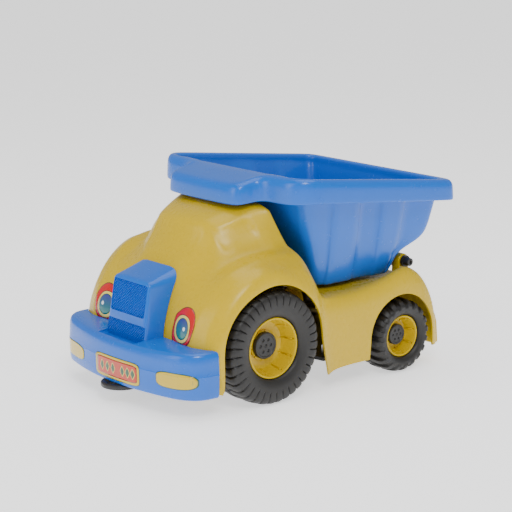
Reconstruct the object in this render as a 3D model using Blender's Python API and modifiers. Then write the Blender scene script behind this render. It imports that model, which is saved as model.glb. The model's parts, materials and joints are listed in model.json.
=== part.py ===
"""Push-along dumper truck for a child: a yellow shell body, a blue tipping tub, a blue bumper and grille,
two steel axles and four free-running wheels.

Frame: +X is the front of the truck, +Y its left side, +Z up, and the ground is z = 0. The drawing below is
in millimetres from a datum DATUM_X behind the middle of the truck's length; at() moves it to the part's
frame, whose origin is on the ground under the middle of the truck, and turns it into metres.
"""

import bmesh
import bpy
from math import atan2, cos, pi, radians, sin
from mathutils import Matrix, Vector

# ---------------------------------------------------------------- driving dimensions, millimetres
DATUM_X = 35.5
GAP = 0.4

FRONT_AXLE_X = 101.5
FRONT_RADIUS = 65.0
REAR_AXLE_X = -100.0
REAR_RADIUS = 44.0
AXLE_RADIUS = 3.0
BORE_RADIUS = 3.1

SHELL_WALL = 2.6
DECK_Z = 108.2
FRONT_ARCH_RADIUS = 72.0
REAR_ARCH_RADIUS = 51.0

HINGE_X = -130.0
HINGE_Z = 126.0
PIN_RADIUS = 4.9
PIN_HALF_LENGTH = 101.0
EAR_RADIUS = 8.5

TUB_WALL = 2.8
TUB_REAR = -174.0
TUB_HALF_WIDTH = 131.0
TUB_FRONT = 70.0
CANOPY_FRONT = 107.0
CANOPY_HALF_WIDTH = 64.0
PANEL_STEP = 3.0

BUMPER_FRONT = 237.0
BUMPER_BOTTOM = 23.0
BUMPER_TOP = 76.0
BUMPER_HALF_WIDTH = 127.0
BUMPER_REAR = 181.0

FRAME_BOTTOM = 31.0
FRAME_THICKNESS = 4.0
# The screw posts under the body: x, y and the height of each post's top.
POSTS = (
    (150, 40, 168), (150, -40, 168), (0, 90, 106.6), (0, -90, 106.6), (-70, 48, 106.6), (-70, -48, 106.6),
)

STICKER_THICKNESS = 0.3
NOSE_STICKER_GAP = 0.6
STEPS = 28

# ---------------------------------------------------------------- the body's cage, millimetres
# One row for each station from the foot of the nose, over the cab and the deck, to the foot of the tail.
# Each row runs from the bottom of the left side up to the middle line: foot, side, flank, fender edge,
# shoulder crease, foot of the cab side, top of the cab side, roof edge, middle line.
BODY_CAGE = (
    ((174, 122, 23), (176, 121, 25), (179, 120, 26), (183, 115, 27), (189, 98, 28),
     (191, 76, 28), (189, 55, 28), (190, 30, 28), (190, 0, 28)),
    ((177, 127, 22), (179, 126, 40), (183, 126, 58), (193, 113, 68), (197, 95, 71),
     (196, 75, 72), (194, 55, 72), (193, 30, 72), (193, 0, 72)),
    ((166, 128, 22), (167, 128, 60), (178, 126, 90), (186, 112, 103), (190, 95, 104),
     (190, 76, 105), (186, 55, 105), (185, 30, 105), (184, 0, 105)),
    ((149, 128, 22), (149, 129, 70), (160, 127, 122), (168, 118, 134), (166, 98, 134),
     (166, 80, 133), (172, 60, 138), (173, 32, 141), (173, 0, 142)),
    ((131, 128, 22), (131, 129, 80), (138, 130, 141), (146, 121, 152), (147, 101, 153),
     (154, 82, 143), (158, 68, 148), (163, 38, 157), (164, 0, 159)),
    ((118, 128, 22), (118, 129, 90), (120, 130, 149), (126, 121, 161), (130, 102, 159),
     (141, 79, 151), (150, 69, 168), (153, 42, 175), (154, 0, 177)),
    ((102, 128, 22), (102, 129, 90), (103, 128, 149), (107, 119, 162), (112, 103, 163),
     (124, 79, 159), (138, 69, 196), (140, 48, 198), (142, 0, 200)),
    ((84, 128, 22), (84, 129, 90), (84, 128, 145), (87, 118, 158), (92, 103, 166),
     (101, 84, 164), (113, 71, 202), (118, 52, 209), (120, 0, 211)),
    ((64, 128, 22), (64, 129, 85), (63, 127, 134), (66, 117, 149), (71, 103, 165),
     (75, 92, 171), (83, 78, 211), (86, 57, 217), (86, 0, 219)),
    ((46, 127, 22), (46, 128, 75), (44, 127, 116), (45, 118, 142), (51, 105, 162),
     (58, 94, 176), (69, 79, 213), (72, 59, 218), (72, 0, 219)),
    ((30, 127, 20), (34, 127, 68), (34, 126, 100), (33, 118, 124), (37, 107, 147),
     (45, 95, 156), (53, 77, 168), (52, 58, 170), (52, 0, 170)),
    ((20, 125, 18), (23, 123, 55), (26, 119, 92), (24, 115, 108), (26, 104, 111),
     (31, 90, 111), (31, 76, 112), (31, 58, 112), (31, 0, 112)),
    ((12, 121, 24), (11, 120, 55), (10, 118, 95), (10, 113, 106), (10, 103, DECK_Z),
     (10, 90, DECK_Z), (10, 76, DECK_Z), (10, 58, DECK_Z), (10, 0, DECK_Z)),
    ((-40, 121, 25), (-40, 120, 55), (-40, 118, 95), (-40, 113, 106), (-40, 103, DECK_Z),
     (-40, 90, DECK_Z), (-40, 76, DECK_Z), (-40, 58, DECK_Z), (-40, 0, DECK_Z)),
    ((-84, 122, 24), (-84, 122, 55), (-84, 121, 104), (-84, 115, 118), (-84, 104, 117),
     (-84, 93, DECK_Z), (-84, 76, DECK_Z), (-84, 58, DECK_Z), (-84, 0, DECK_Z)),
    ((-110, 122, 24), (-110, 122, 60), (-110, 120, 112), (-109, 113, 130), (-111, 103, 127),
     (-112, 96, 112), (-112, 76, DECK_Z), (-112, 58, DECK_Z), (-112, 0, DECK_Z)),
    ((-128, 122, 24), (-128, 122, 60), (-128, 119, 107), (-127, 112, 120), (-126, 104, 120),
     (-125, 96, 114), (-125, 76, DECK_Z), (-125, 58, DECK_Z), (-125, 0, DECK_Z)),
    ((-146, 121, 24), (-146, 121, 55), (-144, 117, 94), (-141, 110, 110), (-139, 102, 113),
     (-138, 94, 112), (-138, 76, 110), (-138, 58, 110), (-138, 0, 110)),
    ((-157, 119, 24), (-157, 119, 45), (-156, 116, 76), (-154, 110, 90), (-153, 101, 95),
     (-153, 92, 96), (-153, 76, 97), (-153, 58, 97), (-153, 0, 97)),
    ((-162, 115, 24), (-162, 115, 36), (-162, 113, 52), (-162, 108, 61), (-162, 100, 64),
     (-162, 90, 66), (-162, 76, 67), (-162, 58, 67), (-162, 0, 67)),
    ((-163, 111, 24), (-163, 111, 25), (-163, 110, 26), (-163, 106, 27), (-163, 99, 28),
     (-163, 90, 28), (-163, 76, 28), (-163, 58, 28), (-163, 0, 28)),
)

# ---------------------------------------------------------------- colours
YELLOW = (0.92, 0.66, 0.0)
BLUE = (0.02, 0.24, 0.85)
BLACK = (0.018, 0.018, 0.02)
STEEL = (0.6, 0.6, 0.62)


# ---------------------------------------------------------------- helpers
def at(x, y, z):
    """A point of the drawing, in the part's frame and in metres."""
    return Vector((x - DATUM_X, y, z)) * 0.001


def clear_scene():
    for obj in list(bpy.data.objects):
        bpy.data.objects.remove(obj, do_unlink=True)


def make_collection(name):
    collection = bpy.data.collections.new(name)
    bpy.context.scene.collection.children.link(collection)
    return collection


def make_material(name, colour, roughness, metallic=0.0):
    material = bpy.data.materials.new(name)
    material.use_nodes = True
    shader = material.node_tree.nodes["Principled BSDF"]
    shader.inputs["Base Color"].default_value = (*colour, 1.0)
    shader.inputs["Roughness"].default_value = roughness
    shader.inputs["Metallic"].default_value = metallic
    return material


def to_object(name, bm, material=None, sharp=35.0):
    """The bmesh as a named part, or as a hidden cutter when it has no material."""
    mesh = bpy.data.meshes.new(name)
    bm.to_mesh(mesh)
    bm.free()
    return mesh_to_object(name, mesh, material, sharp)


def mesh_to_object(name, mesh, material=None, sharp=35.0):
    mesh.shade_smooth()
    mesh.set_sharp_from_angle(angle=radians(sharp))
    obj = bpy.data.objects.new(name, mesh)
    if material:
        mesh.materials.append(material)
        PARTS.objects.link(obj)
    else:
        obj.hide_render = True
        obj.display_type = "WIRE"
        CUTTERS.objects.link(obj)
    return obj


def evaluated_mesh(obj):
    bpy.context.view_layer.update()
    depsgraph = bpy.context.evaluated_depsgraph_get()
    return bpy.data.meshes.new_from_object(obj.evaluated_get(depsgraph))


def boolean(obj, other, operation="DIFFERENCE"):
    modifier = obj.modifiers.new(other.name, "BOOLEAN")
    modifier.operation = operation
    modifier.solver = "EXACT"
    modifier.object = other


def mirror(obj):
    modifier = obj.modifiers.new("Mirror", "MIRROR")
    modifier.use_axis = (False, True, False)
    modifier.merge_threshold = 0.0001


def subdivide(obj, levels):
    modifier = obj.modifiers.new("Subdivision", "SUBSURF")
    modifier.levels = levels
    modifier.render_levels = levels


def solidify(obj, thickness, offset=-1.0):
    modifier = obj.modifiers.new("Solidify", "SOLIDIFY")
    modifier.thickness = thickness * 0.001
    modifier.offset = offset
    modifier.use_even_offset = False


def bevel(obj, width, segments=3, angle=35.0):
    modifier = obj.modifiers.new("Bevel", "BEVEL")
    modifier.width = width * 0.001
    modifier.segments = segments
    modifier.limit_method = "ANGLE"
    modifier.angle_limit = radians(angle)


def grid_faces(bm, rows, wrap=False):
    """Quads between successive rows of points."""
    verts = [[bm.verts.new(point) for point in row] for row in rows]
    count = len(rows[0])
    for near, far in zip(verts, verts[1:]):
        for j in range(count if wrap else count - 1):
            k = (j + 1) % count
            bm.faces.new((near[j], far[j], far[k], near[k]))
    return verts


def box(name, low, high, material=None):
    """An axis-aligned box between two corners of the drawing."""
    bm = bmesh.new()
    bmesh.ops.create_cube(bm, size=1.0)
    a = at(*low)
    b = at(*high)
    bmesh.ops.scale(bm, vec=b - a, verts=bm.verts)
    bmesh.ops.translate(bm, vec=(a + b) / 2, verts=bm.verts)
    return to_object(name, bm, material)


def cylinder(name, centre, radius, half_length, axis="Y", material=None, segments=24):
    """A cylinder along Y or Z, centred on a point of the drawing."""
    bm = bmesh.new()
    bmesh.ops.create_cone(
        bm,
        cap_ends=True,
        segments=segments,
        radius1=radius * 0.001,
        radius2=radius * 0.001,
        depth=half_length * 0.002,
    )
    if axis == "Y":
        bmesh.ops.rotate(bm, matrix=Matrix.Rotation(pi / 2, 3, "X"), verts=bm.verts)
    bmesh.ops.translate(bm, vec=at(*centre), verts=bm.verts)
    return to_object(name, bm, material)


def extruded(name, outline, low, high, plane, material=None):
    """An outline given in the XY or the XZ plane, extruded from low to high along the third axis."""
    bm = bmesh.new()
    if plane == "XY":
        points = [at(x, y, low) for x, y in outline]
        step = Vector((0, 0, (high - low) * 0.001))
    else:
        points = [at(x, low, z) for x, z in outline]
        step = Vector((0, (high - low) * 0.001, 0))
    face = bm.faces.new([bm.verts.new(point) for point in points])
    moved = bmesh.ops.extrude_face_region(bm, geom=[face])["geom"]
    bmesh.ops.translate(bm, vec=step, verts=[v for v in moved if isinstance(v, bmesh.types.BMVert)])
    bmesh.ops.recalc_face_normals(bm, faces=bm.faces)
    return to_object(name, bm, material)


def turned(name, profile, centre, side, material, steps=STEPS, closed=True):
    """A profile of (radius, height) pairs turned about its axis by a Screw modifier, then laid on its side.

    The profile runs down its outer side. side 1 points the heights to +Y, -1 to -Y and 0 leaves them upright.
    An open profile starts and ends on the axis.
    """
    bm = bmesh.new()
    verts = [bm.verts.new((radius * 0.001, 0, height * 0.001)) for radius, height in profile]
    for near, far in zip(verts, verts[1:]):
        bm.edges.new((near, far))
    if closed:
        bm.edges.new((verts[-1], verts[0]))
    obj = to_object(name, bm, material)
    obj.location = at(*centre)
    obj.rotation_euler = (-side * pi / 2, pi / steps if closed else 0, 0)
    screw = obj.modifiers.new("Screw", "SCREW")
    screw.angle = 2 * pi
    screw.steps = steps
    screw.render_steps = steps
    screw.use_merge_vertices = True
    screw.merge_threshold = 0.0001
    return obj


def arc(centre_x, centre_z, radius, start, end, count):
    """Points on an arc from one angle to another, in degrees."""
    angles = [radians(start + (end - start) * i / count) for i in range(count + 1)]
    return [(centre_x + radius * cos(a), centre_z + radius * sin(a)) for a in angles]


# ---------------------------------------------------------------- body shell
def make_body_surface():
    """The body's outer skin: the cage, mirrored and subdivided, as one open surface."""
    bm = bmesh.new()
    grid_faces(bm, [[at(*point) for point in row] for row in BODY_CAGE])
    cage = to_object("body_cage", bm)
    mirror(cage)
    subdivide(cage, 1)
    return cage


def make_nose_cutter(skin):
    """The body's whole volume a gap larger, so that pieces fitted to the nose stay clear of it."""
    bm = bmesh.new()
    bm.from_mesh(skin)
    bm.normal_update()
    for vert, normal in [(v, v.normal.copy()) for v in bm.verts]:
        vert.co += normal * GAP * 0.001
    rim = [edge for edge in bm.edges if edge.is_boundary]
    moved = bmesh.ops.extrude_edge_only(bm, edges=rim)["geom"]
    for vert in (v for v in moved if isinstance(v, bmesh.types.BMVert)):
        vert.co.z = -0.01
    bmesh.ops.holes_fill(bm, edges=[edge for edge in bm.edges if edge.is_boundary])
    bmesh.ops.recalc_face_normals(bm, faces=bm.faces)
    return to_object("nose_clearance", bm)


def arch_cutter(name, centre_x, centre_z, radius, front_foot, rear_foot):
    """A wheel arch: a half circle over the axle and two legs down to the feet of the opening."""
    outline = [(front_foot, 0.0), *arc(centre_x, centre_z, radius, 0, 180, 20), (rear_foot, 0.0)]
    return extruded(name, outline, -150, 150, "XZ")


def make_body(skin):
    body = mesh_to_object("body_shell", skin, YELLOW_PLASTIC)
    solidify(body, SHELL_WALL)
    boolean(body, arch_cutter("front_arch", FRONT_AXLE_X, FRONT_RADIUS, FRONT_ARCH_RADIUS, 173, 16))
    boolean(body, arch_cutter("rear_arch", REAR_AXLE_X, REAR_RADIUS, REAR_ARCH_RADIUS, -44, -152))
    for side in (-1, 1):
        low, high = sorted((77.3 * side, 89.3 * side))
        outline = [
            (HINGE_X - EAR_RADIUS, 104),
            (HINGE_X + EAR_RADIUS, 104),
            *arc(HINGE_X, HINGE_Z, EAR_RADIUS, 0, 180, 10),
        ]
        name = "ear_left" if side > 0 else "ear_right"
        boolean(body, extruded(name, outline, low, high, "XZ"), "UNION")
        low, high = sorted((63.7 * side, 108.3 * side))
        flap = box(name.replace("ear", "flap"), (-170, low, 21), (-157.4, high, 59))
        boolean(body, flap, "UNION")
    foot = FRAME_BOTTOM + FRAME_THICKNESS + GAP
    for i, (x, y, top) in enumerate(POSTS):
        post = cylinder(f"post_{i}", (x, y, (foot + top) / 2), 5.5, (top - foot) / 2, "Z", segments=12)
        boolean(body, post, "UNION")
        boolean(body, cylinder(f"post_bore_{i}", (x, y, foot + 5), 1.9, 12, "Z", segments=12))
    boolean(body, cylinder("pin_bore", (HINGE_X, 0, HINGE_Z), PIN_RADIUS + 0.1, 94))
    return body


# ---------------------------------------------------------------- bumper and grille
def bumper_outline(inset=0.0, rear=BUMPER_REAR):
    """Half plan of the bumper: a shallow bow across the front, a round corner and a straight end."""
    bow = [(BUMPER_FRONT - inset - 0.0014 * y * y, y) for y in (0, 20, 40, 60, 80, 97)]
    edge = BUMPER_HALF_WIDTH - inset
    corner = [(217 - inset, 110), (208 - inset, edge - 6), (197 - inset, edge - 1.5), (rear, edge)]
    half = bow + corner
    return half + [(x, -y) for x, y in reversed(half) if y > 0]


def hood_block(name, inset, rear):
    """The grille hood's block: the front face leans back, the top rises and the sides widen rearward."""
    bm = bmesh.new()
    bmesh.ops.create_cube(bm, size=2.0)
    for vert in bm.verts:
        front = vert.co.x > 0
        top = vert.co.z > 0
        x = (206.5 if top else 218.5) - inset if front else rear
        y = (34.5 if top else 38.5) if front else 46.0
        z = (138.5 if front else 160.0) - inset if top else 52.0 - inset
        vert.co = at(x, (y - inset) * (1 if vert.co.y > 0 else -1), z)
    return to_object(name, bm)


def grille_recess(name, low, high, half_width):
    """A shallow pocket in the leaning front face of the hood, between two heights."""
    lean = atan2(12.0, 88.5)
    depth = 1.6
    bm = bmesh.new()
    bmesh.ops.create_cube(bm, size=1.0)
    bmesh.ops.scale(bm, vec=(0.02, half_width * 0.002, (high - low) * 0.001), verts=bm.verts)
    bmesh.ops.rotate(bm, matrix=Matrix.Rotation(-lean, 3, "Y"), verts=bm.verts)
    middle = (low + high) / 2
    face_x = 206.5 + (138.5 - middle) * 12.0 / 88.5
    bmesh.ops.translate(bm, vec=at(face_x + 10 - depth, 0, middle), verts=bm.verts)
    return to_object(name, bm)


def make_front(nose_cutter):
    """The bumper and the grille hood are one hollow blue moulding that laps the yellow nose."""
    front = extruded("bumper_and_grille", bumper_outline(), BUMPER_BOTTOM, BUMPER_TOP, "XY", BLUE_PLASTIC)
    bevel(front, 6.0, 3, 60.0)
    hood = hood_block("hood_outer", 0.0, 130.0)
    bevel(hood, 5.0, 3)
    boolean(front, hood, "UNION")
    boolean(front, hood_block("hood_inner", 3.0, 140.0))
    boolean(front, extruded("bumper_inner", bumper_outline(3.0, 142.0), 0, BUMPER_TOP - 3.0, "XY"))
    boolean(front, grille_recess("upper_grille", 97, 133, 30))
    boolean(front, grille_recess("lower_grille", 79, 91, 31))
    boolean(front, nose_cutter)
    return front


# ---------------------------------------------------------------- tipping tub
def rim_top(x):
    """Height of the tub's rim: it climbs towards the cab and then droops over it."""
    return 241.5 + 0.108 * x if x < 60 else 248.0 - 0.23 * (x - 60)


def rim_foot(x):
    return 217.5 + 0.0957 * x if x < 50 else 222.3 - 0.09 * (x - 50)


def panel_edges(low_part):
    """Places along the side where its two raised panels start and end, from the rear forward."""
    top = (-104.0, -66.0, -33.0, 9.0)
    bottom = (-113.0, -82.0, -49.0, -8.0)
    return [t + (b - t) * low_part for t, b in zip(top, bottom)]


def tub_ring(rear, front, width, heights, low_part, corner):
    """Half of one ring round the tub below the rim, from the middle of the rear to the middle of the front.

    heights gives z at the rear and at the front; corner is the radius of the upright corners.
    """
    points = [(rear, 0), (rear, width * 0.55), (rear, width - corner)]
    points.append((rear + corner * 0.29, width - corner * 0.29))
    points.append((rear + corner, width))
    for i, edge in enumerate(panel_edges(low_part)):
        before, after = (0.0, PANEL_STEP) if i % 2 == 0 else (PANEL_STEP, 0.0)
        edge = min(max(edge, rear + corner + 2), front - corner - 2)
        points.append((edge - 1.2, width + before - PANEL_STEP))
        points.append((edge + 1.2, width + after - PANEL_STEP))
    points.append((front - corner, width - PANEL_STEP))
    points.append((front - corner * 0.29, width - corner * 0.29 - PANEL_STEP * 0.5))
    points.append((front, width - corner))
    for share in (0.66, 0.55, 0.47, 0.38, 0.2, 0.0):
        points.append((front, width * share))
    low, high = heights
    return [(x, y, low + (high - low) * (x - rear) / (front - rear)) for x, y in points]


def rim_ring(inset, height):
    """Half of one ring on the rim, whose front runs out into the canopy over the cab."""
    half = TUB_HALF_WIDTH - inset
    rear = TUB_REAR + inset
    canopy = CANOPY_HALF_WIDTH - inset
    front = TUB_FRONT - inset
    tip = CANOPY_FRONT - inset
    corner = 11 - inset * 0.5
    outline = [(rear, 0), (rear, half * 0.55), (rear, half - corner)]
    outline.append((rear + corner * 0.29, half - corner * 0.29))
    outline.append((rear + corner, half))
    for edge in panel_edges(0.0):
        outline.append((edge - 1.2, half))
        outline.append((edge + 1.2, half))
    outline += [(42, half), (60 - inset * 0.6, half - 8), (front, half - 24)]
    outline += [(front, canopy + 18), (front + 5, canopy + 6), (front + 14, canopy + 0.6)]
    outline += [(tip - 5, canopy), (tip, canopy - 5), (tip, 0)]
    return [(x, y, height(x)) for x, y in outline]


def canopy_floor_ring(depth):
    """The rim's inner edge: straight across the front, where the tub's mouth ends and the canopy begins."""
    ring = tub_ring(TUB_REAR + 9.5, 61.0, TUB_HALF_WIDTH - 9.5 + PANEL_STEP, (0, 0), 0.0, 14.0)
    flat = [(x, min(y, TUB_HALF_WIDTH - 9.5)) for x, y, z in ring]
    return [(x, y, rim_top(x) - depth) for x, y in flat]


def make_tub():
    """One sheet: floor, inner walls, rim top and outer lip, thickened outward and underneath."""
    rings = [
        tub_ring(-104, -2, 80, (112, 112), 1.0, 6.0),
        tub_ring(-110, 2, 86, (114, 114), 0.97, 7.0),
        tub_ring(-115, 9, 90, (124, 124), 0.9, 8.0),
        tub_ring(-117, 16, 95, (137, 138), 0.78, 9.0),
        tub_ring(-131, 21, 98, (145, 150), 0.7, 10.0),
        tub_ring(-150, 26, 101, (152, 161), 0.6, 11.0),
        tub_ring(-158, 34, 106, (162, 178), 0.45, 12.0),
        tub_ring(-160, 45, 113, (186, 205), 0.2, 13.0),
        canopy_floor_ring(9.0),
        canopy_floor_ring(1.0),
        rim_ring(6.0, rim_top),
        rim_ring(1.5, lambda x: rim_top(x) - 1.5),
        rim_ring(0.0, lambda x: rim_top(x) - 7.0),
        rim_ring(0.0, rim_foot),
    ]
    bm = bmesh.new()
    rows = [[at(*point) for point in ring] for ring in rings]
    verts = grid_faces(bm, rows)
    bm.faces.new(verts[0])
    tub = to_object("tub_sheet", bm)
    mirror(tub)
    sheet = evaluated_mesh(tub)
    bm = bmesh.new()
    bm.from_mesh(sheet)
    seam = [edge for edge in bm.edges if all(abs(v.co.y) < 1e-6 for v in edge.verts)]
    floor_seam = [edge for edge in seam if len(edge.link_faces) == 2 and edge.link_faces[0].calc_area() > 2e-3]
    bmesh.ops.dissolve_edges(bm, edges=floor_seam)
    bpy.data.objects.remove(tub, do_unlink=True)
    tub = to_object("tipper_tub", bm, BLUE_PLASTIC)
    solidify(tub, TUB_WALL, 1.0)
    for side in (-1, 1):
        name = "lug_left" if side > 0 else "lug_right"
        low, high = sorted((58 * side, 70 * side))
        reach = arc(HINGE_X, HINGE_Z, 9.0, 90, 270, 8)
        outline = [*reach, (-116.6, 120), (-117.5, 136), (-122, 141)]
        lug = extruded(name, outline, low, high, "XZ")
        boolean(tub, lug, "UNION")
    boolean(tub, cylinder("tub_pin_bore", (HINGE_X, 0, HINGE_Z), PIN_RADIUS + 0.1, 110))
    return tub


# ---------------------------------------------------------------- chassis, axles and small parts
def make_frame():
    """The black floor frame: a plate cut in at the wheels, with a bearing block for each axle end."""
    half = [(168, 0), (168, 62), (24, 62), (14, 108), (-40, 108), (-46, 62), (-150, 62), (-150, 0)]
    outline = half + [(x, -y) for x, y in reversed(half) if y > 0]
    top = FRAME_BOTTOM + FRAME_THICKNESS
    frame = extruded("chassis_frame", outline, FRAME_BOTTOM, top, "XY", BLACK_PLASTIC)
    for end, x, z in (("front", FRONT_AXLE_X, FRONT_RADIUS), ("rear", REAR_AXLE_X, REAR_RADIUS)):
        for side in (-1, 1):
            low, high = sorted((46 * side, 60 * side))
            name = f"{end}_block_{'left' if side > 0 else 'right'}"
            boolean(frame, box(name, (x - 9, low, top - 1), (x + 9, high, z + 8)), "UNION")
        boolean(frame, cylinder(f"{end}_axle_bore", (x, 0, z), BORE_RADIUS, 80))
    for i, (x, y, top) in enumerate(POSTS):
        boolean(frame, cylinder(f"screw_bore_{i}", (x, y, FRAME_BOTTOM), 2.0, 12, "Z", segments=12))
    return frame


def make_hook():
    """The tow tongue: a flat plate under the bumper with a round nose, and an eye for a cord."""
    nose = arc(222, 0, 23, -90, 90, 14)
    outline = [(150, -15), (212, -15), (216, -22), *nose, (216, 22), (212, 15), (150, 15)]
    top = BUMPER_BOTTOM - GAP
    hook = extruded("tow_hook", outline, top - 5.5, top, "XY", BLACK_PLASTIC)
    boolean(hook, cylinder("tow_eye", (236, 0, top), 4.0, 12, "Z", segments=16))
    return hook


def make_screws():
    """Six screws hold the floor frame to the body's posts, each with its head under the frame."""
    head, shank, depth = 3.6, 1.5, 14.0
    profile = [(0.0, 2.0), (head, 2.0), (head, 0.0), (shank, 0.0), (shank, -depth), (0.0, -depth)]
    for i, (x, y, _) in enumerate(POSTS):
        centre = (x, y, FRAME_BOTTOM - GAP)
        screw = turned(f"chassis_screw_{i + 1}", profile, centre, 0, STEEL_METAL, 12, closed=False)
        screw.rotation_euler = (pi, 0, 0)


# ---------------------------------------------------------------- wheels
FRONT_WHEEL = {
    "x": FRONT_AXLE_X, "radius": FRONT_RADIUS, "outer": 129.0, "inner": 73.0,
    "lip": 34.6, "lip_y": 122.6, "dish_y": 101.0, "cap": 14.6, "cap_y": 110.5,
}
REAR_WHEEL = {
    "x": REAR_AXLE_X, "radius": REAR_RADIUS, "outer": 126.0, "inner": 76.0,
    "lip": 24.8, "lip_y": 119.3, "dish_y": 102.0, "cap": 11.8, "cap_y": 111.0,
}


def tyre_profile(w):
    """Tyre section from the outer bead over the tread to the inner bead, and back along the seat."""
    seat = w["lip"] - 3.2 + GAP
    bulge = (w["radius"] + w["lip"]) / 2
    out, inn, lip = w["outer"], w["inner"], w["lip"]
    r = w["radius"] / cos(pi / STEPS)
    half = [
        (lip + 0.6, w["lip_y"] + 0.8),
        (bulge - 4, out - 0.4),
        (bulge + 4, out),
        (r - 5, out - 2.5),
        (r - 0.8, out - 9),
        (r, out - 16),
    ]
    inner = [(r, inn + 16), (r - 0.8, inn + 9), (r - 5, inn + 2.5), (bulge, inn), (lip + 2, inn + 3)]
    seat_line = [(seat, inn + 6), (seat, w["lip_y"] - 4.6), (lip + 0.6, w["lip_y"] - 3.2)]
    return half + inner + seat_line


def rim_profile(w):
    """Rim section: lip, barrel under the tyre, inner hub, bore and the dish with its boss."""
    seat = w["lip"] - 3.2
    hub = w["cap"] - 3.0
    return [
        (w["lip"], w["lip_y"]),
        (w["lip"], w["lip_y"] - 2.6),
        (seat, w["lip_y"] - 4.0),
        (seat, w["inner"] + 6),
        (seat - 2.6, w["inner"] + 6),
        (seat - 4.2, w["dish_y"] - 3),
        (hub, w["dish_y"] - 3),
        (hub, w["inner"] - 4),
        (BORE_RADIUS, w["inner"] - 4),
        (BORE_RADIUS, w["dish_y"] + 2),
        (hub, w["dish_y"] + 2),
        (hub, w["dish_y"]),
        (seat - 4.2, w["dish_y"]),
        (w["lip"] - 2.2, w["lip_y"] - 0.2),
    ]


def cap_profile(w):
    """Hub cap: a shallow cup that snaps over the boss, closed outside."""
    boss = w["cap"] - 3.0 + GAP
    foot = w["dish_y"] + GAP
    return [
        (0.0, w["cap_y"]),
        (w["cap"] - 1.5, w["cap_y"]),
        (w["cap"], w["cap_y"] - 1.5),
        (w["cap"], foot),
        (boss, foot),
        (boss, w["cap_y"] - 2.2),
        (0.0, w["cap_y"] - 2.2),
    ]


def ring_profile(inner_radius, outer_radius, near, far):
    """Section of a plain ring between two distances from the middle plane."""
    return [(outer_radius, far), (outer_radius, near), (inner_radius, near), (inner_radius, far)]


def make_wheels():
    for end, w in (("front", FRONT_WHEEL), ("rear", REAR_WHEEL)):
        centre = (w["x"], 0, w["radius"])
        nut_y = w["dish_y"] + 2 + GAP
        nut = ring_profile(AXLE_RADIUS + 0.2, 6.5, nut_y, nut_y + 1.2)
        spacer = ring_profile(BORE_RADIUS, 6.0, 60.5, w["inner"] - 4.5)
        for hand, side in (("left", 1), ("right", -1)):
            tag = f"{end}_{hand}"
            turned(f"tyre_{tag}", tyre_profile(w), centre, side, RUBBER)
            turned(f"rim_{tag}", rim_profile(w), centre, side, YELLOW_PLASTIC)
            turned(f"hub_cap_{tag}", cap_profile(w), centre, side, BLACK_PLASTIC, 24, closed=False)
            turned(f"push_nut_{tag}", nut, centre, side, STEEL_METAL, 16)
            turned(f"spacer_{tag}", spacer, centre, side, BLACK_PLASTIC, 16)
        cylinder(f"{end}_axle", centre, AXLE_RADIUS, w["dish_y"] + 5.0, "Y", STEEL_METAL, 16)


def make_hinge():
    """The hinge pin runs through the body's ears and the tub's lugs; a clip holds each end."""
    centre = (HINGE_X, 0, HINGE_Z)
    cylinder("hinge_pin", centre, PIN_RADIUS, PIN_HALF_LENGTH, "Y", BLACK_PLASTIC, 20)
    clip = ring_profile(PIN_RADIUS + 0.3, 7.0, 90.5, 93.5)
    turned("hinge_clip_left", clip, centre, 1, BLACK_PLASTIC, 20)
    turned("hinge_clip_right", clip, centre, -1, BLACK_PLASTIC, 20)


# ---------------------------------------------------------------- stickers
def sticker(name, sheet, outline):
    """The piece of a thin sheet that lies within a YZ outline seen from the front."""
    bm = bmesh.new()
    face = bm.faces.new([bm.verts.new(at(140, y, z)) for y, z in outline])
    moved = bmesh.ops.extrude_face_region(bm, geom=[face])["geom"]
    bmesh.ops.translate(bm, vec=(0.12, 0, 0), verts=[v for v in moved if isinstance(v, bmesh.types.BMVert)])
    bmesh.ops.recalc_face_normals(bm, faces=bm.faces)
    boolean(sheet, to_object(f"{name}_outline", bm), "INTERSECT")
    return sheet


def nose_sheet(name, skin):
    """A sheet that follows the front of the body, a small gap away from it."""
    bm = bmesh.new()
    bm.from_mesh(skin)
    bm.normal_update()
    for vert, normal in [(v, v.normal.copy()) for v in bm.verts]:
        vert.co += normal * NOSE_STICKER_GAP * 0.001
    behind = [v for v in bm.verts if v.co.x < at(150, 0, 0).x]
    bmesh.ops.delete(bm, geom=behind, context="VERTS")
    sheet = to_object(name, bm, PRINT)
    solidify(sheet, STICKER_THICKNESS, 1.0)
    return sheet


def bumper_sheet(name):
    """A sheet that follows the bumper's face, a gap away from it."""
    low = BUMPER_BOTTOM + 2
    high = BUMPER_TOP - 2
    outside = bumper_outline(-GAP - STICKER_THICKNESS, 186.0)
    sheet = extruded(name, outside, low, high, "XY", PRINT)
    boolean(sheet, extruded(f"{name}_back", bumper_outline(-GAP, 180.0), low - 5, high + 5, "XY"))
    return sheet


def rounded(centre_y, centre_z, half_y, half_z, power, count=20):
    """A rounded outline: an ellipse at power 2, squarer as the power grows."""
    points = []
    for i in range(count):
        angle = 2 * pi * i / count
        c, s = cos(angle), sin(angle)
        scale = (abs(c) ** power + abs(s) ** power) ** (-1 / power)
        points.append((centre_y + half_y * c * scale, centre_z + half_z * s * scale))
    return points


def make_stickers(skin):
    for hand, side in (("left", 1), ("right", -1)):
        name = f"headlight_sticker_{hand}"
        sticker(name, nose_sheet(name, skin), rounded(76 * side, 97.2, 20.5, 20.2, 2.4))
        name = f"bumper_light_sticker_{hand}"
        sticker(name, bumper_sheet(name), rounded(92 * side, 41, 26, 8, 5.0))
    name = "number_plate_sticker"
    sticker(name, bumper_sheet(name), rounded(0, 41, 39, 12.5, 9.0))


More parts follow.
